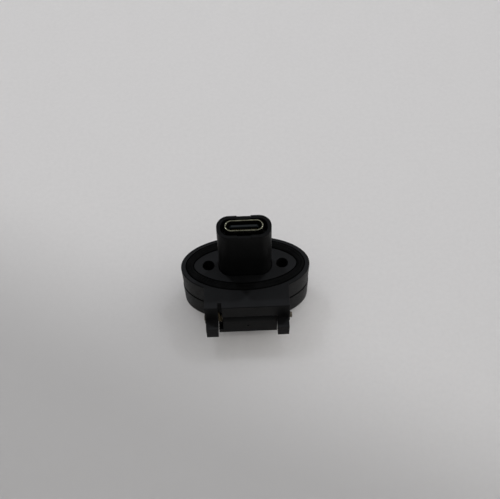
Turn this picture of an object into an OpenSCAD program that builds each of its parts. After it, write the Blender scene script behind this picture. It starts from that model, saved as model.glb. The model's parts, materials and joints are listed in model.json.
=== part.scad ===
// Panel feed-through socket: an oval flange with a face seal and two screw holes, a post that
// carries a reversible data receptacle at each end, and a sprung lid hinged on a pin.
// The origin is midway between the screw holes on the seat face. +Z runs up the post, and the
// hinge is on the -Y side.

/* [Flange] */
// Length of the flange oval, along X
flange_l = 30.7; // [29.6:0.1:36]
// Width of the flange oval, along Y
flange_w = 17.1; // [16:0.02:18.4]
// Height of the flange, from the seat face to the parting plane
flange_h = 6; // [5.6:0.1:7.5]
// Inward draft of the flange wall over its height
flange_draft = 0.3; // [0.1:0.05:0.5]
// Chamfer along the top edge of the flange
rim_chamfer = 0.2; // [0.1:0.05:0.3]
// Width of the rim outside the seal groove
rim_w = 1.1; // [0.7:0.05:1.2]
// Width of the seal groove at the two ends of the oval
groove_w = 2.04; // [1.6:0.02:2.2]
// Extra width of the groove along the oval's long sides, taken from the rim
groove_bulge = 0.2; // [0:0.02:0.3]
// Depth of the seal groove
groove_depth = 1.2; // [0.8:0.1:2]

/* [Panel seal] */
// Height of the seal ring, without its ribs
seal_h = 1.34; // [1.2:0.02:1.5]
// Gap between the seal ring and each groove wall
seal_gap = 0.2; // [0.08:0.02:0.26]
// Chamfer along the two upper edges of the seal ring
seal_chamfer = 0.15; // [0.05:0.01:0.2]
// Distance between the two ribs on the seal ring
rib_spacing = 0.74; // [0.5:0.02:0.8]
// Width of a rib at its foot
rib_w = 0.4; // [0.2:0.02:0.46]
// Height of a rib
rib_h = 0.16; // [0.08:0.02:0.3]

/* [Screw holes] */
// Distance between the two screw holes
screw_spacing = 17.52; // [16.6:0.02:18.4]
// Diameter of the screw holes
screw_d = 2.85; // [2:0.05:3]
// Depth of the blind screw holes
screw_depth = 4.4; // [3:0.1:4.6]

/* [Post] */
// Width of the post at the seat face, along X
post_w = 12.45; // [11.8:0.05:13]
// Depth of the post at the seat face, along Y
post_d = 6.4; // [6:0.05:6.8]
// Corner radius of the post
post_r = 2.9; // [2.6:0.05:3]
// Height of the post rim above the seat face
post_h = 14.4; // [13:0.1:18]
// Outward draft of the post from the seat face to its rim
post_flare = 0.15; // [0.02:0.01:0.25]
// Wall of the post round the well
post_wall = 0.95; // [0.7:0.05:1.1]
// Depth of the well round the receptacle
well_depth = 3; // [2:0.1:4]
// Width of the notch in the front and back of the post rim
notch_w = 3.2; // [2:0.1:4]
// Depth of that notch
notch_depth = 0.25; // [0.1:0.05:0.8]
// Gap between the post and its hole in the flange
post_gap = 0.14; // [0.06:0.02:0.2]
// Width of the shoulder that holds the post in the flange
shoulder_w = 0.9; // [0.6:0.05:1.1]
// Thickness of that shoulder
shoulder_t = 1.2; // [0.8:0.1:1.6]

/* [Receptacles] */
// Width of the metal shell, outside
shell_w = 8.94; // [8.8:0.02:9.1]
// Depth of the metal shell, outside
shell_d = 3.2; // [3.1:0.02:3.3]
// Wall of the metal shell
shell_wall = 0.3; // [0.2:0.02:0.34]
// Length of the metal shell
shell_l = 8.2; // [7.8:0.1:8.6]
// Height of the inner shell's mouth above the post rim
shell_proud = 0.5; // [0.2:0.05:0.8]
// Set-back of the outer shell's mouth behind the parting plane
shell_setback = 0.1; // [0.05:0.05:0.3]
// Gap between a shell and its seat in the post
shell_play = 0.04; // [0.02:0.01:0.08]
// Width of the tongue
tongue_w = 6.69; // [6.5:0.01:6.8]
// Thickness of the tongue
tongue_t = 0.7; // [0.66:0.01:0.8]
// Depth of the tongue's tip behind the mouth
tip_depth = 0.2; // [0.1:0.05:1.2]
// Chamfer along the tongue's tip
tip_chamfer = 0.12; // [0.05:0.01:0.2]
// Chamfer of the tongue's two corners
tip_corner = 0.4; // [0.2:0.05:0.4]
// Depth at which the tongue thickens into its root
root_depth = 4.9; // [4.6:0.05:5.2]
// Thickness of the root
root_t = 1.5; // [1.3:0.05:1.7]
// Depth at which the moulded base starts
base_depth = 6.2; // [5.8:0.05:6.6]
// Side gap between the moulded base and the shell
base_gap = 0.05; // [0.03:0.01:0.1]
// Contacts in one row
contact_n = 12; // [8:2:12]
// Pitch of the contacts
contact_pitch = 0.5; // [0.46:0.01:0.52]
// Width of one contact
contact_w = 0.26; // [0.2:0.01:0.3]
// Thickness of one contact
contact_t = 0.1; // [0.08:0.01:0.14]
// Distance from the tongue's tip to the end of a contact
contact_setback = 0.8; // [0.5:0.05:1]
// Length of a contact's tail on the board
contact_tail = 1.2; // [0.8:0.1:1.6]
// Thickness of the shield plate inside the tongue, and of the ground plates on its root
plate_t = 0.1; // [0.08:0.01:0.14]
// Width of the ground plates
ground_w = 6.2; // [5.4:0.1:6.8]
// Width of the board between the receptacles
board_w = 7.6; // [6.6:0.1:7.9]
// Thickness of that board
board_t = 0.6; // [0.56:0.01:0.62]

/* [Hinge block] */
// Width of the hinge block
block_w = 20; // [19.4:0.1:21]
// Distance from the post's axis to the front of the block
block_front = 12.6; // [12.2:0.05:12.9]
// Height of the block's front face
front_h = 3.75; // [3.2:0.05:3.9]
// Chamfer along the top edges of the block
block_chamfer = 0.15; // [0.1:0.05:0.5]
// Distance from the post's axis to the pin
pin_y = 11; // [10.8:0.05:11.3]
// Height of the pin above the parting plane
pin_lift = 0.1; // [0:0.05:0.3]
// Width of the left ear
ear_left_w = 3.1; // [2.8:0.05:3.4]
// Width of the right ear
ear_right_w = 3; // [2.6:0.05:3.3]
// Radius of the ears under the pin
ear_r = 1.7; // [1.4:0.05:1.9]
// Reach of the ears' feet in front of the block
foot_reach = 2.9; // [2:0.1:3.2]
// Height of the feet's top above the pin
foot_rise = 1.5; // [1.2:0.05:1.7]
// Step from the side of the block to the side of a foot
foot_step = 0.2; // [0.1:0.05:0.4]
// Draft of a foot's outer side over its height
foot_draft = 0.16; // [0.05:0.01:0.25]
// Radius of the lower front edge of a foot
foot_edge_r = 0.15; // [0.1:0.05:0.9]

/* [Pin and spring] */
// Diameter of the hinge pin
pin_d = 1.35; // [1.1:0.05:1.5]
// Length of pin that stands out of the left ear
pin_out_left = 0.2; // [0.1:0.05:0.6]
// Length of pin that stands out of the right ear
pin_out_right = 0.6; // [0.2:0.05:0.9]
// Radial play of the lid on the pin
pin_play = 0.04; // [0.02:0.01:0.09]
// Diameter of the spring wire
wire_d = 0.3; // [0.2:0.01:0.32]
// Radial gap between the spring and the pin
coil_gap = 0.1; // [0.06:0.01:0.16]
// Whole turns of the spring
coil_turns = 2; // [1:1:2]
// Length of the spring's two legs
leg_l = 2.4; // [2.2:0.05:3.3]
// Slant of the spring's two legs
leg_slant = 15; // [12:1:20]
// Gap between a leg's end and the wall that it leans on
leg_seat = 0.02; // [0.01:0.01:0.05]
// Gap below the end of the spring's lower leg
leg_clear = 0.1; // [0.06:0.02:0.2]
// Width of the slot for the spring's upper leg
slot_w = 0.9; // [0.7:0.05:1.1]

/* [Lid] */
// Gap at the parting plane
parting_gap = 0.3; // [0.12:0.02:0.34]
// Height of the lid
lid_h = 5.8; // [5.4:0.1:7]
// Step inward from the flange's top edge to the lid's top edge
lid_step = 0.2; // [0.1:0.02:0.6]
// Inward draft of the lid wall over its height
lid_draft = 0.22; // [0.1:0.02:0.4]
// Radius of the lid's lower edge
lid_edge_r = 0.45; // [0.3:0.05:1.2]
// Wall of the lid
lid_wall = 1.8; // [1.5:0.1:2.1]
// Floor of the lid
lid_floor = 1.5; // [1.3:0.1:1.8]
// Radius of the knuckle about the pin
knuckle_r = 1.6; // [1.4:0.05:1.7]
// Gap round the knuckle
knuckle_gap = 0.2; // [0.12:0.02:0.3]
// Length of the leaf below the pin
leaf_drop = 4.2; // [3.8:0.1:4.4]
// Radius of the leaf's lower front edge
leaf_edge_r = 0.25; // [0.15:0.05:0.8]
// Gap between the leaf and the right ear
leaf_gap_right = 0.06; // [0.04:0.02:0.4]
// Gap between the leaf and the left ear
leaf_gap_left = 0.1; // [0.04:0.02:0.6]
// Gap between the knuckle and the left ear, which holds the spring
spring_room = 1.1; // [1.04:0.02:1.4]
// Diameter of the gate mark on the leaf
gate_d = 0.5; // [0.3:0.05:0.8]
// Depth of that mark
gate_depth = 0.25; // [0.05:0.01:0.3]

/* [Gasket] */
// Gap round the gasket in the lid
gasket_gap = 0.08; // [0.04:0.02:0.16]
// Height of the gasket's lip above the lid's top
lip_h = 0.1; // [0.04:0.02:0.1]
// Width of the lip
lip_w = 0.8; // [0.6:0.05:1]
// Distance of the lip outside the post's outline
lip_out = 0.9; // [0.3:0.05:1]
// Depth of the gasket's dish inside the lip
dish_depth = 0.5; // [0.3:0.05:1]

/* [Hidden] */
$fn = 96;
// Overshoot of a cut past the face that it opens
cut = 1;

// The oval is an ellipse, drawn with this many points
oval_n = 96;
half_l = flange_l / 2;
half_w = flange_w / 2;
// Steps in a quarter of a rounded edge on the oval
edge_steps = 5;

// Levels
parting_z = -flange_h;
lid_top_z = parting_z - parting_gap;
lid_bottom_z = lid_top_z - lid_h;
lid_floor_z = lid_bottom_z + lid_floor;
inner_mouth_z = post_h + shell_proud;
inner_back_z = inner_mouth_z - shell_l;
outer_mouth_z = parting_z + shell_setback;
outer_back_z = outer_mouth_z + shell_l;

// Hinge
pin_z = parting_z + pin_lift;
ear_left_x = -block_w / 2 + ear_left_w;
ear_right_x = block_w / 2 - ear_right_w;
room_r = knuckle_r + knuckle_gap;
leaf_left_x = ear_left_x + leaf_gap_left;
leaf_right_x = ear_right_x - leaf_gap_right;
knuckle_left_x = ear_left_x + spring_room;
leaf_bottom_z = pin_z - leaf_drop;

// Spring path in the plane across the pin
coil_r = pin_d / 2 + coil_gap + wire_d / 2;
coil_pitch = wire_d * 1.05;
coil_left_x = ear_left_x + wire_d * 0.65;
leg_in_angle = 180 - leg_slant;
leg_out_angle = 180 + leg_slant + 360 * coil_turns;
// The legs lean on the back of the slot and of the pocket, and the pocket reaches past the lower leg
slot_back_y = -pin_y + leg_l * sin(leg_slant) - (coil_r - wire_d / 2) * cos(leg_slant) + leg_seat;
spring_drop = leg_l * cos(leg_slant) + (coil_r + wire_d / 2) * sin(leg_slant) + leg_clear;
coil_steps = 24 * coil_turns + 2;
wire_sides = 8;

plastic = "#1b1c1f";
rubber = "#0e0e10";
insert_plastic = "#232629";
gold = "#c8b184";
steel = "#a9a59c";
copper_alloy = "#b8934a";
board_green = "#2d5a3c";

// Draws a shape of (Y, Z) and runs it along X from x0 to x1
module along_x(x0, x1) {
    translate([x0, 0, 0]) rotate([90, 0, 90]) linear_extrude(x1 - x0) children();
}

// Draws a shape of (X, Y) and runs it up from z0 to z1
module along_z(z0, z1) {
    translate([0, 0, z0]) linear_extrude(z1 - z0) children();
}

function unit(v) = v / norm(v);

// Points of the oval for [inset, z], moved inward square to its edge; a third number widens the oval along Y
function oval_ring(p) = let (wide = half_w + (is_undef(p[2]) ? 0 : p[2])) [for (i = [0 : oval_n - 1]) let (
    t = 360 * i / oval_n,
    outward = unit([wide * cos(t), half_l * sin(t)])
) [half_l * cos(t) - p[0] * outward[0], wide * sin(t) - p[0] * outward[1], p[1]]];

// Faces that join ring a to ring b
function ring_band(a, b) = [for (s = [0 : oval_n - 1]) let (t = (s + 1) % oval_n) [
    a * oval_n + s, b * oval_n + s, b * oval_n + t, a * oval_n + t
]];

// A solid oval whose wall passes through [inset, z] pairs, listed from the bottom up
module oval_loft(wall) {
    n = len(wall);
    floor_face = [for (s = [0 : oval_n - 1]) s];
    roof_face = [for (s = [oval_n - 1 : -1 : 0]) (n - 1) * oval_n + s];
    polyhedron(
        [for (p = wall) each oval_ring(p)],
        concat([floor_face, roof_face], [for (i = [0 : n - 2]) each ring_band(i, i + 1)])
    );
}

// A closed ring round the oval whose section is a loop of [inset, z] pairs, outer side upwards
module oval_loop(section) {
    n = len(section);
    polyhedron(
        [for (p = section) each oval_ring(p)],
        [for (i = [0 : n - 1]) each ring_band(i, (i + 1) % n)]
    );
}

// [inset, z] pairs on an arc about a centre, from one angle to another; 0 points outward
function edge_arc(centre, r, from, to) = [for (i = [0 : edge_steps]) let (
    angle = from + (to - from) * i / edge_steps
) [centre[0] - r * cos(angle), centre[1] + r * sin(angle)]];

// A rectangle with round corners
module rounded_bar(w, d, r) {
    square([w - 2 * r, d], center = true);
    square([w, d - 2 * r], center = true);
    for (x = [-1, 1], y = [-1, 1]) translate([x * (w / 2 - r), y * (d / 2 - r)]) circle(r);
}

// A bar with fully round ends
module round_ended_bar(w, d) {
    square([w - d, d], center = true);
    for (x = [-1, 1]) translate([x * (w - d) / 2, 0]) circle(d / 2);
}

// The post's outline, grown by a margin
module post_outline(margin) {
    rounded_bar(post_w + 2 * margin, post_d + 2 * margin, post_r + margin);
}

// The shell's outline, grown by a margin
module shell_outline(margin) {
    round_ended_bar(shell_w + 2 * margin, shell_d + 2 * margin);
}

// Side view of the hinge block with its chamfered top edge
module block_side() {
    polygon([
        [-block_front, parting_z], [-block_front, -block_chamfer], [-block_front + block_chamfer, 0],
        [-half_w + rim_w + groove_w, 0], [-half_w + rim_w + groove_w, parting_z]
    ]);
}

// Side view of an ear's lower part: round under the pin, with the foot in front
module ear_side() {
    ear_bottom_z = pin_z - ear_r;
    foot_front_y = -block_front - foot_reach;
    translate([-pin_y, pin_z]) circle(ear_r);
    translate([foot_front_y + foot_edge_r, ear_bottom_z])
        square([-pin_y - foot_front_y - foot_edge_r, foot_rise + ear_r]);
    translate([foot_front_y, ear_bottom_z + foot_edge_r])
        square([foot_edge_r, foot_rise + ear_r - foot_edge_r]);
    translate([foot_front_y + foot_edge_r, ear_bottom_z + foot_edge_r]) circle(foot_edge_r);
}

// Front view of an ear's lower part, narrowing downwards on its outer side
module ear_front(outer_x, inner_x) {
    low_x = outer_x + sign(inner_x - outer_x) * foot_draft;
    polygon([
        [low_x, pin_z - ear_r - cut], [inner_x, pin_z - ear_r - cut], [inner_x, pin_z + foot_rise + cut],
        [outer_x, pin_z + foot_rise + cut], [outer_x, pin_z + foot_rise]
    ]);
}

// An ear's lower part between its outer and its inner side
module ear(outer_x, inner_x) {
    intersection() {
        along_x(min(outer_x, inner_x), max(outer_x, inner_x)) ear_side();
        rotate([90, 0, 0]) linear_extrude(block_front + foot_reach + cut) ear_front(outer_x, inner_x);
    }
}

// The space that the lid's knuckle and leaf turn in
module knuckle_room() {
    along_x(ear_left_x, ear_right_x) {
        translate([-pin_y, pin_z]) circle(room_r);
        translate([-block_front - cut, parting_z - cut])
            square([block_front + cut - pin_y, flange_h - front_h + cut]);
    }
}

// The slot through the block over the spring
module spring_slot() {
    translate([ear_left_x, -block_front - cut, pin_z])
        cube([slot_w, slot_back_y + block_front + cut, -pin_z + cut]);
}

// A rod along X on the pin's axis
module on_pin_axis(x0, x1, d) {
    translate([x0, -pin_y, pin_z]) rotate([0, 90, 0]) cylinder(h = x1 - x0, d = d);
}

module flange_body() {
    color(plastic) difference() {
        union() {
            oval_loft([[flange_draft, parting_z], [0, -rim_chamfer], [rim_chamfer, 0]]);
            along_x(-block_w / 2, block_w / 2) block_side();
            ear(-block_w / 2 + foot_step, ear_left_x);
            ear(block_w / 2 - foot_step, ear_right_x);
        }
        oval_loop([
            [rim_w, -groove_depth, groove_bulge], [rim_w, cut, groove_bulge],
            [rim_w + groove_w, cut], [rim_w + groove_w, -groove_depth]
        ]);
        for (x = [-1, 1]) translate([x * screw_spacing / 2, 0, -screw_depth])
            cylinder(h = screw_depth + cut, d = screw_d);
        along_z(parting_z - cut, cut) post_outline(post_gap);
        along_z(parting_z - cut, parting_z + shoulder_t) post_outline(shoulder_w + post_gap);
        knuckle_room();
        spring_slot();
        on_pin_axis(-block_w / 2 - cut, block_w / 2 + cut, pin_d);
    }
}

module coupler_sleeve() {
    flare_scale = [1 + 2 * post_flare / post_w, 1 + 2 * post_flare / post_d];
    color(plastic) difference() {
        union() {
            along_z(parting_z, 0) post_outline(0);
            linear_extrude(post_h, scale = flare_scale, slices = 1) post_outline(0);
            along_z(parting_z, parting_z + shoulder_t) post_outline(shoulder_w);
        }
        along_z(post_h - well_depth, post_h + cut) post_outline(post_flare - post_wall);
        along_z(inner_back_z, post_h + cut) shell_outline(shell_play);
        along_z(outer_back_z - cut, inner_back_z + cut) shell_outline(-shell_wall);
        along_z(parting_z - cut, outer_back_z) shell_outline(shell_play);
        translate([-notch_w / 2, -post_d, post_h - notch_depth])
            cube([notch_w, 2 * post_d, notch_depth + cut]);
    }
}

// Section of a rib on the seal ring about an inset, halfway between the groove's walls
function seal_rib(middle, foot_z) = [
    for (p = [[-rib_w / 2, 0], [-rib_w / 6, rib_h], [rib_w / 6, rib_h], [rib_w / 2, 0]])
        [middle + p[0], foot_z + p[1], groove_bulge / 2]
];

module panel_seal() {
    outer = rim_w + seal_gap;
    inner = rim_w + groove_w - seal_gap;
    middle = rim_w + groove_w / 2;
    top_z = seal_h - groove_depth;
    color(rubber) oval_loop(concat(
        [
            [outer, -groove_depth, groove_bulge], [outer, top_z - seal_chamfer, groove_bulge],
            [outer + seal_chamfer, top_z, groove_bulge]
        ],
        seal_rib(middle - rib_spacing / 2, top_z),
        seal_rib(middle + rib_spacing / 2, top_z),
        [[inner - seal_chamfer, top_z], [inner, top_z - seal_chamfer], [inner, -groove_depth]]
    ));
}

module hinge_pin() {
    color(steel) on_pin_axis(-block_w / 2 - pin_out_left, block_w / 2 + pin_out_right, pin_d);
}

// Point at an angle round the pin, in the plane across it
function round_pin(angle, r) = [-pin_y + r * cos(angle), pin_z + r * sin(angle)];

// Middle line of the spring: the upper leg, the coil and the lower leg
function spring_path() = let (
    first = round_pin(leg_in_angle, coil_r),
    last = round_pin(leg_out_angle, coil_r),
    last_x = coil_left_x + coil_pitch * (leg_out_angle - leg_in_angle) / 360
) concat(
    [[coil_left_x, first[0] + leg_l * sin(leg_in_angle), first[1] - leg_l * cos(leg_in_angle)]],
    [for (i = [0 : coil_steps]) let (
        turned = (leg_out_angle - leg_in_angle) * i / coil_steps,
        p = round_pin(leg_in_angle + turned, coil_r)
    ) [coil_left_x + coil_pitch * turned / 360, p[0], p[1]]],
    [[last_x, last[0] - leg_l * sin(leg_out_angle), last[1] + leg_l * cos(leg_out_angle)]]
);

// Ring of points round one place on a path, square to the path there
function wire_ring(path, i) = let (
    along = unit(path[min(i + 1, len(path) - 1)] - path[max(i - 1, 0)]),
    side = unit([1, 0, 0] - along[0] * along),
    up = cross(along, side)
) [for (s = [0 : wire_sides - 1]) let (angle = 360 * s / wire_sides)
    path[i] + wire_d / 2 * (cos(angle) * side + sin(angle) * up)];

// A round wire along a path
module wire(path) {
    n = len(path);
    points = [for (i = [0 : n - 1]) each wire_ring(path, i)];
    sides = [for (i = [0 : n - 2], s = [0 : wire_sides - 1]) let (t = (s + 1) % wire_sides) [
        i * wire_sides + s, (i + 1) * wire_sides + s, (i + 1) * wire_sides + t, i * wire_sides + t
    ]];
    ends = [
        [for (s = [0 : wire_sides - 1]) s],
        [for (s = [wire_sides - 1 : -1 : 0]) (n - 1) * wire_sides + s]
    ];
    polyhedron(points, concat(sides, ends));
}

module torsion_spring() {
    color(gold) wire(spring_path());
}

// Puts a receptacle's piece, drawn mouth up with its mouth at z = 0, at one end of the post
module at_inner() {
    translate([0, 0, inner_mouth_z]) children();
}

module at_outer() {
    translate([0, 0, outer_mouth_z]) rotate([180, 0, 0]) children();
}

module shell_piece() {
    color(gold) difference() {
        along_z(-shell_l, 0) shell_outline(0);
        along_z(-shell_l - cut, cut) shell_outline(-shell_wall);
    }
}

// One row of contacts on the side of the tongue that way points to, +1 or -1 along Y
module contact_row(way) {
    top_z = -tip_depth - contact_setback;
    bottom_z = -shell_l - contact_tail;
    middle_y = way * (board_t + contact_t) / 2;
    for (i = [0 : contact_n - 1])
        translate([(i - (contact_n - 1) / 2) * contact_pitch, middle_y, (top_z + bottom_z) / 2])
            cube([contact_w, contact_t, top_z - bottom_z], center = true);
}

module mid_plate_piece() {
    top_z = -tip_depth - contact_setback;
    translate([0, 0, (top_z - base_depth) / 2]) cube([tongue_w, plate_t, top_z + base_depth], center = true);
}

// Outline of a tongue of width w with its tip's edges cut off by a chamfer
module tongue_outline(w, chamfer) {
    polygon([
        [-w / 2, -base_depth - cut], [-w / 2, -tip_depth - chamfer], [-w / 2 + chamfer, -tip_depth],
        [w / 2 - chamfer, -tip_depth], [w / 2, -tip_depth - chamfer], [w / 2, -base_depth - cut]
    ]);
}

module tongue_piece() {
    color(insert_plastic) difference() {
        union() {
            intersection() {
                along_x(-tongue_w / 2, tongue_w / 2) tongue_outline(tongue_t, tip_chamfer);
                rotate([90, 0, 0]) linear_extrude(2 * tongue_t, center = true)
                    tongue_outline(tongue_w, tip_corner);
            }
            translate([-tongue_w / 2, -root_t / 2, -base_depth - cut])
                cube([tongue_w, root_t, base_depth + cut - root_depth]);
            along_z(-shell_l, -base_depth)
                round_ended_bar(shell_w - 2 * shell_wall - 2 * base_gap, shell_d - 2 * shell_wall);
        }
        contact_row(1);
        contact_row(-1);
        mid_plate_piece();
    }
}

module ground_plates_piece() {
    color(gold) for (way = [-1, 1])
        translate([0, way * (root_t + plate_t) / 2, -(root_depth + base_depth) / 2])
            cube([ground_w, plate_t, base_depth - root_depth], center = true);
}

module inner_shell() { at_inner() shell_piece(); }
module inner_tongue() { at_inner() tongue_piece(); }
module inner_upper_contacts() { color(copper_alloy) at_inner() contact_row(1); }
module inner_lower_contacts() { color(copper_alloy) at_inner() contact_row(-1); }
module inner_mid_plate() { color(steel) at_inner() mid_plate_piece(); }
module inner_ground_plates() { at_inner() ground_plates_piece(); }
module outer_shell() { at_outer() shell_piece(); }
module outer_tongue() { at_outer() tongue_piece(); }
module outer_upper_contacts() { color(copper_alloy) at_outer() contact_row(-1); }
module outer_lower_contacts() { color(copper_alloy) at_outer() contact_row(1); }
module outer_mid_plate() { color(steel) at_outer() mid_plate_piece(); }
module outer_ground_plates() { at_outer() ground_plates_piece(); }

module coupler_board() {
    color(board_green) translate([-board_w / 2, -board_t / 2, outer_back_z])
        cube([board_w, board_t, inner_back_z - outer_back_z]);
}

// Side view of the lid's leaf: round about the pin, flat in front, running back into the wall
module leaf_side() {
    front_y = -pin_y - knuckle_r;
    back_y = -half_w + lid_step + lid_draft + lid_wall;
    behind_z = lid_top_z - parting_gap / 2;
    translate([-pin_y, pin_z]) circle(knuckle_r);
    translate([front_y, leaf_bottom_z + leaf_edge_r]) square([knuckle_r, leaf_drop - leaf_edge_r]);
    translate([front_y + leaf_edge_r, leaf_bottom_z])
        square([back_y - front_y - leaf_edge_r, behind_z - leaf_bottom_z]);
    translate([front_y + leaf_edge_r, leaf_bottom_z + leaf_edge_r]) circle(leaf_edge_r);
}

// The space beside the knuckle that the spring sits in
module spring_pocket() {
    along_x(leaf_left_x - cut, knuckle_left_x) {
        translate([-pin_y, pin_z]) circle(room_r);
        translate([-pin_y - room_r, pin_z - spring_drop])
            square([slot_back_y + pin_y + room_r, spring_drop]);
    }
}

module lid() {
    low_inset = lid_step + lid_draft;
    pocket_inset = low_inset + lid_wall;
    color(plastic) difference() {
        union() {
            oval_loft(concat(
                edge_arc([low_inset + lid_edge_r, lid_bottom_z + lid_edge_r], lid_edge_r, -90, 0),
                [[lid_step, lid_top_z]]
            ));
            along_x(leaf_left_x, leaf_right_x) leaf_side();
        }
        oval_loft([[pocket_inset, lid_floor_z], [pocket_inset, lid_top_z + cut]]);
        spring_pocket();
        on_pin_axis(leaf_left_x - cut, leaf_right_x + cut, pin_d + 2 * pin_play);
        translate([(leaf_left_x + leaf_right_x) / 2, -pin_y - knuckle_r, pin_z - knuckle_r])
            rotate([90, 0, 0]) cylinder(h = 2 * gate_depth, d = gate_d, center = true, $fn = 24);
    }
}

module lid_gasket() {
    pad_inset = lid_step + lid_draft + lid_wall + gasket_gap;
    color(rubber) difference() {
        union() {
            oval_loft([[pad_inset, lid_floor_z], [pad_inset, lid_top_z]]);
            along_z(lid_floor_z, lid_top_z + lip_h) post_outline(lip_out);
        }
        along_z(lid_top_z - dish_depth, lid_top_z + lip_h + cut) post_outline(lip_out - lip_w);
    }
}

flange_body();
coupler_sleeve();
panel_seal();
hinge_pin();
torsion_spring();
inner_shell();
inner_tongue();
inner_upper_contacts();
inner_lower_contacts();
inner_mid_plate();
inner_ground_plates();
outer_shell();
outer_tongue();
outer_upper_contacts();
outer_lower_contacts();
outer_mid_plate();
outer_ground_plates();
coupler_board();
lid();
lid_gasket();
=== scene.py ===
"""Looks of a panel feed-through socket with a sprung lid: finishes, rounded edges, spring, stage, camera."""

import json
import math

import bpy
from mathutils import Matrix, Vector


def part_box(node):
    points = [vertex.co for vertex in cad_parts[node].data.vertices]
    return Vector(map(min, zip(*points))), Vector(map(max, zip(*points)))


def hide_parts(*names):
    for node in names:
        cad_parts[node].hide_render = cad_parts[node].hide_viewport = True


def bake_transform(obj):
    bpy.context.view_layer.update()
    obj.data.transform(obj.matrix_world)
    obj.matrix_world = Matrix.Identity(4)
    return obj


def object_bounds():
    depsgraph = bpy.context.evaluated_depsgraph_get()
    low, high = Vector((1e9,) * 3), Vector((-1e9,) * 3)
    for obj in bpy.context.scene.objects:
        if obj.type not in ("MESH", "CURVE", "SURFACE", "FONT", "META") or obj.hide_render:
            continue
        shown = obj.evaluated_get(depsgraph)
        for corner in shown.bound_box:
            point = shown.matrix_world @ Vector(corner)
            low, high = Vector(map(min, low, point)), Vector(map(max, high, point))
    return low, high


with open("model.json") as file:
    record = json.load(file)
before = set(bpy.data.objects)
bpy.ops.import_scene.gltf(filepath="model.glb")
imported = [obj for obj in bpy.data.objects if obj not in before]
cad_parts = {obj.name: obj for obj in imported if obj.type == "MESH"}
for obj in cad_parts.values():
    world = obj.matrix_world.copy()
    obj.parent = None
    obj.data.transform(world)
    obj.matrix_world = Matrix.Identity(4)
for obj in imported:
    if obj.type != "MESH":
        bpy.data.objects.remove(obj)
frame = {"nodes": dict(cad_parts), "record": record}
cad_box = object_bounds()

MM = 0.001

# The photograph's frame in pixels, and the camera fitted to the part in it
PHOTO_WIDTH = 500
FOCAL_PIXELS = 1200
SENSOR_MM = 36
LOOK_DOWN = math.radians(52.68)
PART_TILT = math.radians(1.09)
PART_TURN = math.radians(2.06)
CAMERA_DISTANCE = 286.3 * MM
CAMERA_RIGHT = 1.13 * MM
CAMERA_UP = 3.46 * MM
CAMERA_NEAREST = CAMERA_DISTANCE / 100

# Two lamps behind the part, as its shadows show them
LAMP_AZIMUTH = math.radians(40.6)
LAMP_HEIGHT = math.radians(57)
LAMP_DISTANCE = 0.42
LAMP_SIZE = 0.022
LAMP_POWER_LEFT = 0.345
LAMP_POWER_RIGHT = 0.31
LAMP_COLOUR = (0.93, 0.97, 1.06)

# The weaker light of the room, even apart from soft patches: the way to the middle of each, the angles
# in degrees between which it fades, and its strength
ROOM_EVEN = 0.03
ROOM_PATCHES = (
    ((1, 0, 0.4), 20, 50, 0.95),
    ((0, -0.1, 1), 20, 60, 0.48),
)

# Pale backdrop behind the floor, and the angles above the horizon between which it fades
BACKDROP = 0.56
BACKDROP_FADE = (12, 16)

# Pale foam floor; its glow fades where the part stands within reach, a painted shadow under and beside it
FLOOR_COLOUR = (0.618, 0.60, 0.582, 1)
FLOOR_MOTTLE = 0.97
FLOOR_GLOW = 0.236
FLOOR_GLOW_REACH_MM = 10
FLOOR_SCATTER = 28 * MM
FLOOR_REACH = 6.0
# Painted shade on its darker side: the share of its colour there, the way to it, and where that starts and
# is full
FLOOR_SHADE = 0.68
FLOOR_SHADE_WAY = (-0.5, -0.866, 0)
FLOOR_SHADE_FADE = (-5 * MM, 45 * MM)

# Width of the rounding along each node's edges, in millimetres
PORT_ROUNDING_MM = {
    "shell": 0.1,
    "tongue": 0.03,
    "upper_contacts": 0.02,
    "lower_contacts": 0.02,
    "mid_plate": 0,
    "ground_plates": 0.02,
}
EDGE_ROUNDING_MM = {
    "flange_body": 0.07,
    "coupler_sleeve": 0.16,
    "panel_seal": 0,
    "hinge_pin": 0.1,
    "coupler_board": 0.02,
    "lid": 0.08,
    "lid_gasket": 0.03,
    **{f"{port}_{piece}": width for port in ("inner", "outer") for piece, width in PORT_ROUNDING_MM.items()},
}
WELD_DISTANCE = 0.002 * MM
FLAT_ANGLE = math.radians(0.2)
EDGE_ANGLE = math.radians(30)
EDGE_STEPS = 3


def feed(tree, socket, value):
    """Gives an input a value, or links it to the output that feeds it."""
    if isinstance(value, bpy.types.NodeSocket):
        tree.links.new(value, socket)
    else:
        socket.default_value = value


def add_node(tree, kind, inputs=None, **settings):
    """A node with its settings made and its inputs fed."""
    node = tree.nodes.new(kind)
    for name, value in settings.items():
        setattr(node, name, value)
    for name, value in (inputs or {}).items():
        feed(tree, node.inputs[name], value)
    return node


def add_math(tree, operation, a, b):
    return add_node(tree, "ShaderNodeMath", {0: a, 1: b}, operation=operation).outputs["Value"]


def add_dot(tree, a, b):
    """The dot product of two vectors."""
    return add_node(tree, "ShaderNodeVectorMath", {0: a, 1: b}, operation="DOT_PRODUCT").outputs["Value"]


def add_range(tree, value, low, high, start, end, way="LINEAR"):
    """Maps a value from start..end to low..high, and holds it there."""
    return add_node(tree, "ShaderNodeMapRange", {
        "Value": value, "From Min": start, "From Max": end, "To Min": low, "To Max": high,
    }, interpolation_type=way).outputs["Result"]


def seen_share(tree):
    """1 for rays that the camera sees, straight or by way of gloss and glass, and 0 for other light."""
    rays = add_node(tree, "ShaderNodeLightPath").outputs
    share = rays["Is Camera Ray"]
    for other in ("Is Glossy Ray", "Is Transmission Ray"):
        share = add_math(tree, "MAXIMUM", share, rays[other])
    return share


# Rounded edges on the CAD nodes


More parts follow.
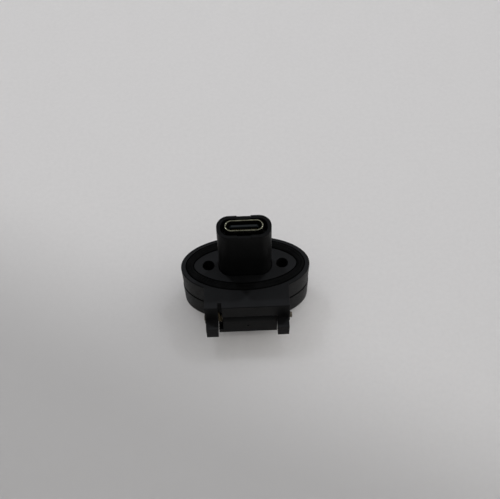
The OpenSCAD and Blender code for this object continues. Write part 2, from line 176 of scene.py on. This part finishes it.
def smoothing_group():
    """Joins the corners that the CAD mesh keeps apart and shades it smooth, so that a bevel can round it."""
    group = bpy.data.node_groups.new("joined_and_smooth", "GeometryNodeTree")
    for way in ("INPUT", "OUTPUT"):
        group.interface.new_socket("Geometry", in_out=way, socket_type="NodeSocketGeometry")
    start = add_node(group, "NodeGroupInput")
    joined = add_node(group, "GeometryNodeMergeByDistance", {
        "Geometry": start.outputs["Geometry"], "Distance": WELD_DISTANCE,
    })
    bare = add_node(group, "GeometryNodeRemoveAttribute", {
        "Geometry": joined.outputs["Geometry"], "Name": "custom_normal",
    })
    with_shading = add_node(group, "GeometryNodeSetShadeSmooth", {
        "Geometry": bare.outputs["Geometry"], "Shade Smooth": True,
    })
    add_node(group, "NodeGroupOutput", {"Geometry": with_shading.outputs["Geometry"]})
    return group


def round_edges(node, width, group):
    """Rounds a CAD node's edges with modifiers and leaves its mesh alone."""
    joined = node.modifiers.new("joined", "NODES")
    joined.node_group = group
    flat = node.modifiers.new("flat_faces", "DECIMATE")
    flat.decimate_type = "DISSOLVE"
    flat.angle_limit = FLAT_ANGLE
    if width:
        bevel = node.modifiers.new("rounded", "BEVEL")
        bevel.width = width
        bevel.segments = EDGE_STEPS
        bevel.limit_method = "ANGLE"
        bevel.angle_limit = EDGE_ANGLE
        bevel.use_clamp_overlap = False
        bevel.loop_slide = False
        bevel.harden_normals = True


# Materials

# Values between which most of a noise lies
NOISE_LOW = 0.3
NOISE_HIGH = 0.7
# Likeness of the rounded and the true normal, from full wear to none
WEAR_LIKENESS = (0.85, 0.995)
EDGE_SAMPLES = 6
OPEN_SAMPLES = 8
# Square of the normal's Z, from upright faces to end faces
END_FACING = (0.1, 0.5)
# Part of a speck's radius that is fully covered, and the width of the step from kept to dropped specks
SPECK_CORE = 0.5
SPECK_STEP = 0.01
# Lines in drawn metal: their width, how many times longer they are, their relief, and what they take from
# the roughness and add to it
LINE_MM = 0.06
LINE_STRETCH = 12
LINE_DEPTH_MM = 0.002
LINE_ROUGHNESS = (0.07, 0.09)
# Part of a grey's added blue that its green gets
GREEN_SHARE = 0.3


def grey(value, blue=0.0):
    """A colour of that grey, with some blue added."""
    return (value, value * (1 + GREEN_SHARE * blue), value * (1 + blue), 1)


def dimmed(colour, share):
    """A colour with only that share of its brightness."""
    return tuple(channel * share for channel in colour[:3]) + (1,)


# Black of the painted shade in plastic gaps and on end faces, and grey of real dust
PAINTED_SHADE = grey(0.0)
DUST = grey(0.04)


class Paint:
    """A node material in the making, with its textures sized in millimetres."""

    def __init__(self, name, **inputs):
        self.material = bpy.data.materials.new(name)
        self.material.use_nodes = True
        self.tree = self.material.node_tree
        self.shader = self.tree.nodes["Principled BSDF"]
        self.place = self.add("ShaderNodeTexCoord").outputs["Object"]
        for socket, value in inputs.items():
            self.set(socket, value)

    def add(self, kind, inputs=None, **settings):
        return add_node(self.tree, kind, inputs, **settings)

    def set(self, socket, value):
        """Feeds the shader's input of that name, written with _ for spaces."""
        feed(self.tree, self.shader.inputs[socket.replace("_", " ")], value)

    def noise(self, size_mm, detail=2.0, stretch=(1, 1, 1)):
        """Cloudy noise whose blotches have that size; stretch draws them out along X, Y and Z."""
        place = self.add("ShaderNodeMapping", {
            "Vector": self.place, "Scale": tuple(1 / s for s in stretch),
        }).outputs["Vector"]
        return self.add("ShaderNodeTexNoise", {
            "Vector": place, "Scale": 1 / (size_mm * MM), "Detail": detail,
        }).outputs["Fac"]

    def spread(self, value, low, high, start=NOISE_LOW, end=NOISE_HIGH, way="LINEAR"):
        """Maps a value, a noise unless its range is given, to low..high."""
        return add_range(self.tree, value, low, high, start, end, way)

    def multiply(self, a, b):
        return add_math(self.tree, "MULTIPLY", a, b)

    def mix(self, share, low, high):
        """Mixes two colours, or the colours that two outputs carry; the node's colours go by number."""
        return self.add("ShaderNodeMix", {0: share, 6: low, 7: high}, data_type="RGBA").outputs[2]

    def bump(self, height, depth_mm, under=None):
        """Relief of that depth, on top of another relief if one is given."""
        inputs = {"Height": height, "Distance": depth_mm * MM, "Strength": 1.0}
        if under:
            inputs["Normal"] = under
        return self.add("ShaderNodeBump", inputs).outputs["Normal"]

    def edges(self, reach_mm):
        """1 along edges and 0 on open faces, fading over that reach."""
        rounded = self.add("ShaderNodeBevel", {"Radius": reach_mm * MM}, samples=EDGE_SAMPLES)
        true = self.add("ShaderNodeNewGeometry")
        likeness = add_dot(self.tree, rounded.outputs["Normal"], true.outputs["Normal"])
        return self.spread(likeness, 1.0, 0.0, *WEAR_LIKENESS)

    def open_faces(self, reach_mm, shut=0.15, free=0.5):
        """0 where other faces within that reach shut it in, and 1 in corners and on open faces."""
        clear = self.add("ShaderNodeAmbientOcclusion", {"Distance": reach_mm * MM}, samples=OPEN_SAMPLES)
        return self.spread(clear.outputs["AO"], 0.0, 1.0, shut, free)

    def end_faces(self):
        """1 on faces that look along Z and 0 on upright ones."""
        facing = self.add("ShaderNodeSeparateXYZ", {
            "Vector": self.add("ShaderNodeTexCoord").outputs["Normal"],
        }).outputs["Z"]
        return self.spread(self.multiply(facing, facing), 0.0, 1.0, *END_FACING)

    def specks(self, spacing_mm, radius_mm, share):
        """1 on small dots that lie that far apart, of which only a share is kept."""
        cells = self.add("ShaderNodeTexVoronoi", {"Vector": self.place, "Scale": 1 / (spacing_mm * MM)})
        reach = radius_mm / spacing_mm
        dots = self.spread(cells.outputs["Distance"], 1.0, 0.0, reach * SPECK_CORE, reach)
        lot = self.add("ShaderNodeSeparateColor", {"Color": cells.outputs["Color"]}).outputs["Red"]
        kept = self.spread(lot, 1.0, 0.0, share, share + SPECK_STEP)
        return self.multiply(dots, kept)

    def draw_lines(self, roughness, along):
        """Fine lines along one axis, in the roughness and as relief."""
        stretch = tuple(LINE_STRETCH if axis == along else 1 for axis in range(3))
        lines = self.noise(LINE_MM, stretch=stretch)
        less, more = LINE_ROUGHNESS
        self.set("Roughness", self.spread(lines, roughness - less, roughness + more))
        self.set("Normal", self.bump(lines, LINE_DEPTH_MM))


def moulded_plastic(name, tone, blue, roughness, grain_mm, grain_depth_mm, specular, painted_end_shade=0.0):
    """Black moulding with a fine spark-eroded grain, paler worn edges, a little dust, and painted shade that
    turns it black in gaps and hollows.

    Painted end shade is the share of its tone that the end faces lose: painted shade that darkens the faces
    which look along Z.
    """
    paint = Paint(name, Specular_IOR_Level=specular)
    clouds = paint.spread(paint.noise(size_mm=4.0), low=0.0, high=1.0)
    grain = paint.noise(grain_mm, detail=3.0)
    body = paint.mix(clouds, grey(tone * 0.8, blue), grey(tone * 1.25, blue))
    pitted = paint.mix(paint.spread(grain, low=0.5, high=0.0), body, grey(tone * 0.45, blue))
    patches = paint.spread(paint.noise(size_mm=1.2), low=0.15, high=0.8)
    wear = paint.multiply(paint.edges(reach_mm=0.14), patches)
    worn = paint.mix(wear, pitted, grey(tone * 1.5, blue))
    dust = paint.multiply(paint.specks(spacing_mm=1.7, radius_mm=0.06, share=0.2), 0.5)
    dusty = paint.mix(dust, worn, DUST)
    # Painted shade: the end faces, which look along Z, lose that share of their tone
    with_shading = paint.mix(paint.multiply(paint.end_faces(), painted_end_shade), dusty, PAINTED_SHADE)
    # Painted shade: the colour goes black where other faces within reach shut a face in, in gaps, slots and
    # hollows
    paint.set("Base_Color", paint.mix(paint.open_faces(reach_mm=1.4, shut=0.28), PAINTED_SHADE, with_shading))
    paint.set("Roughness", paint.spread(paint.noise(size_mm=0.6), roughness - 0.06, roughness + 0.06))
    coarse = paint.bump(paint.noise(grain_mm * 3.0), grain_depth_mm)
    paint.set("Normal", paint.bump(grain, grain_depth_mm, coarse))
    return paint.material


def rubber(name, tone):
    """Matt black rubber that has picked up dust."""
    paint = Paint(name, Specular_IOR_Level=0.01)
    clouds = paint.spread(paint.noise(size_mm=2.5), low=0.0, high=1.0)
    body = paint.mix(clouds, grey(tone * 0.75), grey(tone * 1.35))
    dust = paint.multiply(paint.specks(spacing_mm=0.8, radius_mm=0.05, share=0.2), 0.35)
    paint.set("Base_Color", paint.mix(dust, body, DUST))
    paint.set("Roughness", paint.spread(paint.noise(size_mm=0.5), low=0.5, high=0.64))
    paint.set("Normal", paint.bump(paint.noise(size_mm=0.12, detail=3.0), depth_mm=0.006))
    return paint.material


def drawn_metal(name, colour, dark, roughness, along):
    """Metal with fine lines along one axis, dulled in places."""
    paint = Paint(name, Metallic=1.0)
    dulled = paint.spread(paint.noise(size_mm=0.9), low=0.0, high=0.75)
    paint.set("Base_Color", paint.mix(dulled, colour, dark))
    paint.draw_lines(roughness, along)
    return paint.material


def plated_shell(name, lip, dark, wall, roughness, along):
    """Drawn steel shell with a warm tint on its end faces."""
    paint = Paint(name, Metallic=1.0)
    dulled = paint.spread(paint.noise(size_mm=0.7), low=0.0, high=0.8)
    warm = paint.mix(dulled, lip, dark)
    paint.set("Base_Color", paint.mix(paint.end_faces(), wall, warm))
    paint.draw_lines(roughness, along)
    return paint.material


def filled_plastic(name, colour, fleck):
    """Plastic with short pale glass fibres in it."""
    paint = Paint(name, Specular_IOR_Level=0.25)
    threads = paint.noise(size_mm=0.05, detail=1.0, stretch=(1, 1, 5))
    fibres = paint.spread(threads, low=0.0, high=0.35, start=0.5, end=0.8)
    clouds = paint.spread(paint.noise(size_mm=0.8), low=0.0, high=0.3)
    shaded = paint.mix(clouds, colour, grey(0.002))
    paint.set("Base_Color", paint.mix(fibres, shaded, fleck))
    paint.set("Roughness", paint.spread(paint.noise(size_mm=0.3), low=0.36, high=0.5))
    paint.set("Normal", paint.bump(paint.noise(size_mm=0.08), depth_mm=0.003))
    return paint.material


def solder_mask(name, lacquer, track):
    """Lacquer over copper tracks."""
    paint = Paint(name, Specular_IOR_Level=0.5, Coat_Weight=0.4, Coat_Roughness=0.2)
    bands = paint.add("ShaderNodeTexWave", {
        "Vector": paint.place, "Scale": 320.0, "Distortion": 0.0,
    }, bands_direction="X")
    raised = paint.spread(bands.outputs["Fac"], low=0.0, high=1.0, start=0.45, end=0.55)
    paint.set("Base_Color", paint.mix(raised, lacquer, track))
    paint.set("Roughness", paint.spread(paint.noise(size_mm=0.4), low=0.3, high=0.42))
    paint.set("Normal", paint.bump(raised, depth_mm=0.02))
    return paint.material


def floor_surface():
    """Pale foam sheet that scatters light so that the shadows on it are soft; painted shade darkens it
    towards one side, and its glow fades near the part as painted shadow.
    """
    paint = Paint("pale_floor", Specular_IOR_Level=0.3, Subsurface_Weight=1.0, Subsurface_Radius=(1, 1, 1),
                  Subsurface_Scale=FLOOR_SCATTER)
    paint.shader.subsurface_method = "BURLEY"
    clouds = paint.spread(paint.noise(size_mm=1.1, detail=4.0), low=0.0, high=1.0)
    pale = paint.mix(clouds, dimmed(FLOOR_COLOUR, FLOOR_MOTTLE), FLOOR_COLOUR)
    # Painted shade: the sheet darkens towards one side
    towards = add_dot(paint.tree, paint.place, FLOOR_SHADE_WAY)
    side = paint.spread(towards, 0.0, 1.0, *FLOOR_SHADE_FADE, way="SMOOTHSTEP")
    sheet = paint.mix(side, pale, dimmed(FLOOR_COLOUR, FLOOR_SHADE))
    paint.set("Base_Color", sheet)
    paint.set("Roughness", paint.spread(paint.noise(size_mm=3.0), low=0.55, high=0.65))
    # Painted shadow: the glow fades where the part stands within reach
    glow = paint.multiply(paint.open_faces(FLOOR_GLOW_REACH_MM), FLOOR_GLOW)
    paint.set("Emission_Color", sheet)
    paint.set("Emission_Strength", paint.multiply(seen_share(paint.tree), glow))
    return paint.material


def slot_materials():
    """One finish for each material slot of the record; along is the axis of a metal's lines."""
    return {
        "black_plastic": moulded_plastic(
            "black_plastic", tone=0.0085, blue=0.06, roughness=0.46, grain_mm=0.16, grain_depth_mm=0.003,
            specular=0.105,
        ),
        "sleeve_plastic": moulded_plastic(
            "sleeve_plastic", tone=0.0065, blue=0.04, roughness=0.44, grain_mm=0.11, grain_depth_mm=0.002,
            specular=0.08, painted_end_shade=0.6,
        ),
        "seal_rubber": rubber("seal_rubber", tone=0.005),
        "pin_steel": drawn_metal(
            "pin_steel", colour=(0.24, 0.21, 0.16, 1), dark=(0.10, 0.09, 0.07, 1),
            roughness=0.3, along=0,
        ),
        "spring_wire": drawn_metal(
            "spring_wire", colour=(0.22, 0.18, 0.11, 1), dark=(0.06, 0.05, 0.03, 1),
            roughness=0.26, along=0,
        ),
        "shell_metal": plated_shell(
            "shell_metal", lip=(0.335, 0.33, 0.235, 1), dark=(0.04, 0.039, 0.026, 1),
            wall=(0.16, 0.16, 0.14, 1), roughness=0.3, along=2,
        ),
        "tongue_plastic": filled_plastic(
            "tongue_plastic", colour=(0.005, 0.008, 0.009, 1), fleck=(0.009, 0.014, 0.016, 1),
        ),
        "contact_metal": drawn_metal(
            "contact_metal", colour=(0.48, 0.35, 0.15, 1), dark=(0.26, 0.18, 0.07, 1),
            roughness=0.3, along=2,
        ),
        "board": solder_mask("board", lacquer=(0.010, 0.055, 0.022, 1), track=(0.022, 0.12, 0.045, 1)),
    }


# The spring, as a smooth round wire along the CAD spring's own line

COIL_POINTS = 40
WIRE_POINTS = 14
COIL_TURNS = 2
LEG_SLANT = math.radians(15)
# Pitch in wire diameters, and the length of an end's taper and the radius at its tip in wire radii
PITCH_SHARE = 1.05
END_SHARE = 0.4
END_TAPER = 0.6


def spring_line(pin_y, pin_z, left_x, coil_r, pitch, leg):
    """Points along the middle of the wire: upper leg, coil, lower leg."""
    first = math.pi - LEG_SLANT
    last = math.pi + LEG_SLANT + COIL_TURNS * 2 * math.pi

    def on_coil(angle):
        x = left_x + pitch * (angle - first) / (2 * math.pi)
        return Vector((x, pin_y + coil_r * math.cos(angle), pin_z + coil_r * math.sin(angle)))

    steps = COIL_POINTS * COIL_TURNS
    coil = [on_coil(first + (last - first) * i / steps) for i in range(steps + 1)]
    into = Vector((0, math.sin(first), -math.cos(first)))
    away = Vector((0, -math.sin(last), math.cos(last)))
    return [coil[0] + into * leg] + coil + [coil[-1] + away * leg]


def wire_mesh(name, line, radius):
    """A round wire along a line, with its two ends closed and slightly rounded."""
    end = radius * END_SHARE
    rings = []
    for i, point in enumerate(line):
        along = (line[min(i + 1, len(line) - 1)] - line[max(i - 1, 0)]).normalized()
        side = (Vector((1, 0, 0)) - along * along.x).normalized()
        rings.append((point, along, side, along.cross(side), radius))
    first, last = rings[0], rings[-1]
    rings.insert(0, (first[0] - first[1] * end, *first[1:4], radius * END_TAPER))
    rings.append((last[0] + last[1] * end, *last[1:4], radius * END_TAPER))
    points, faces = [], []
    for middle, _, side, up, r in rings:
        for s in range(WIRE_POINTS):
            angle = 2 * math.pi * s / WIRE_POINTS
            points.append(middle + side * r * math.cos(angle) + up * r * math.sin(angle))
    for i in range(len(rings) - 1):
        for s in range(WIRE_POINTS):
            t = (s + 1) % WIRE_POINTS
            a, b = i * WIRE_POINTS, (i + 1) * WIRE_POINTS
            faces.append((a + s, a + t, b + t, b + s))
    faces.append(tuple(reversed(range(WIRE_POINTS))))
    faces.append(tuple((len(rings) - 1) * WIRE_POINTS + s for s in range(WIRE_POINTS)))
    mesh = bpy.data.meshes.new(name)
    mesh.from_pydata(points, [], faces)
    mesh.shade_smooth()
    return bpy.data.objects.new(name, mesh)


def make_spring(material):
    """The wire spring on the pin, sized from the CAD spring's box, with one leg on each body."""
    low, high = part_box("torsion_spring")
    pin_low, pin_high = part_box("hinge_pin")
    pin_y = (pin_low.y + pin_high.y) / 2
    pin_z = (pin_low.z + pin_high.z) / 2
    coil_back = high.y - pin_y
    length = high.x - low.x
    turned = COIL_TURNS + LEG_SLANT / math.pi
    wire_d = length / (1 + PITCH_SHARE * turned)
    coil_r = coil_back - wire_d / 2
    leg = (high.z - pin_z - coil_back * math.sin(LEG_SLANT)) / math.cos(LEG_SLANT) - END_SHARE * wire_d / 2
    line = spring_line(pin_y, pin_z, low.x + wire_d / 2, coil_r, PITCH_SHARE * wire_d, leg)
    spring = wire_mesh("spring_wire", line, wire_d / 2)
    bpy.context.scene.collection.objects.link(spring)
    spring.data.materials.append(material)
    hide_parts("torsion_spring")
    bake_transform(spring)


# Stage: floor, lamps, room light and camera


def make_floor():
    level = cad_box[0].z
    mesh = bpy.data.meshes.new("floor")
    corners = [(x * FLOOR_REACH, y * FLOOR_REACH, level) for x, y in ((-1, -1), (1, -1), (1, 1), (-1, 1))]
    mesh.from_pydata(corners, [], [(0, 1, 2, 3)])
    mesh.materials.append(floor_surface())
    floor = bpy.data.objects.new("floor", mesh)
    bpy.context.scene.collection.objects.link(floor)


def make_lamp(name, azimuth, power):
    """A round lamp behind the part, turned from straight behind by azimuth and aimed at the seat face."""
    lamp = bpy.data.lights.new(name, "AREA")
    lamp.shape = "DISK"
    lamp.size = LAMP_SIZE
    lamp.energy = power
    lamp.color = LAMP_COLOUR
    level = math.cos(LAMP_HEIGHT)
    towards = Vector((math.sin(azimuth) * level, math.cos(azimuth) * level, math.sin(LAMP_HEIGHT)))
    holder = bpy.data.objects.new(name, lamp)
    holder.location = towards * LAMP_DISTANCE
    holder.rotation_mode = "QUATERNION"
    holder.rotation_quaternion = towards.to_track_quat("Z", "Y")
    bpy.context.scene.collection.objects.link(holder)


def make_room():
    """Even room light with soft brighter patches in it, and a pale backdrop where the camera sees it."""
    world = bpy.data.worlds.new("room")
    bpy.context.scene.world = world
    world.use_nodes = True
    tree = world.node_tree
    background = tree.nodes["Background"]
    place = add_node(tree, "ShaderNodeTexCoord").outputs["Generated"]
    light = ROOM_EVEN
    for way, inner, outer, strength in ROOM_PATCHES:
        towards = add_dot(tree, place, Vector(way).normalized())
        fade = (math.cos(math.radians(angle)) for angle in (outer, inner))
        patch = add_range(tree, towards, 0.0, strength, *fade, way="SMOOTHSTEP")
        light = add_math(tree, "ADD", light, patch)
    height = add_node(tree, "ShaderNodeSeparateXYZ", {"Vector": place}).outputs["Z"]
    fade = (math.sin(math.radians(angle)) for angle in BACKDROP_FADE)
    low = add_range(tree, height, 1.0, 0.0, *fade)
    share = add_math(tree, "MULTIPLY", low, seen_share(tree))
    shown = add_node(tree, "ShaderNodeMix", {0: share, 2: light, 3: BACKDROP}, data_type="FLOAT").outputs[0]
    tree.links.new(shown, background.inputs["Strength"])
    background.inputs["Color"].default_value = (1, 1, 1, 1)


def make_camera():
    """The photograph's camera: it looks down at the part, which stands slightly turned and tilted to it."""
    down, ahead = math.sin(LOOK_DOWN), math.cos(LOOK_DOWN)
    level = Matrix(((1, 0, 0), (0, down, ahead), (0, -ahead, down)))
    axes = level @ Matrix.Rotation(-PART_TILT, 3, "Y") @ Matrix.Rotation(PART_TURN, 3, "Z")
    turn = axes.transposed()
    data = bpy.data.cameras.new("camera")
    data.sensor_width = SENSOR_MM
    data.lens = SENSOR_MM * FOCAL_PIXELS / PHOTO_WIDTH
    data.clip_start = CAMERA_NEAREST
    camera = bpy.data.objects.new("camera", data)
    place = turn @ Vector((CAMERA_RIGHT, CAMERA_UP, CAMERA_DISTANCE))
    camera.matrix_world = Matrix.Translation(place) @ turn.to_4x4()
    bpy.context.scene.collection.objects.link(camera)
    bpy.context.scene.camera = camera


def main():
    finishes = slot_materials()
    slots = {part["node"]: part["material_slot"] for part in frame["record"]["subparts"]}
    group = smoothing_group()
    for name, node in frame["nodes"].items():
        node.data.materials.clear()
        node.data.materials.append(finishes[slots[name]])
        if name in EDGE_ROUNDING_MM:
            round_edges(node, EDGE_ROUNDING_MM[name] * MM, group)
    make_spring(finishes["spring_wire"])
    make_floor()
    make_lamp("lamp_left", -LAMP_AZIMUTH, LAMP_POWER_LEFT)
    make_lamp("lamp_right", LAMP_AZIMUTH, LAMP_POWER_RIGHT)
    make_room()
    make_camera()
    bpy.context.scene.view_settings.view_transform = "Standard"


main()
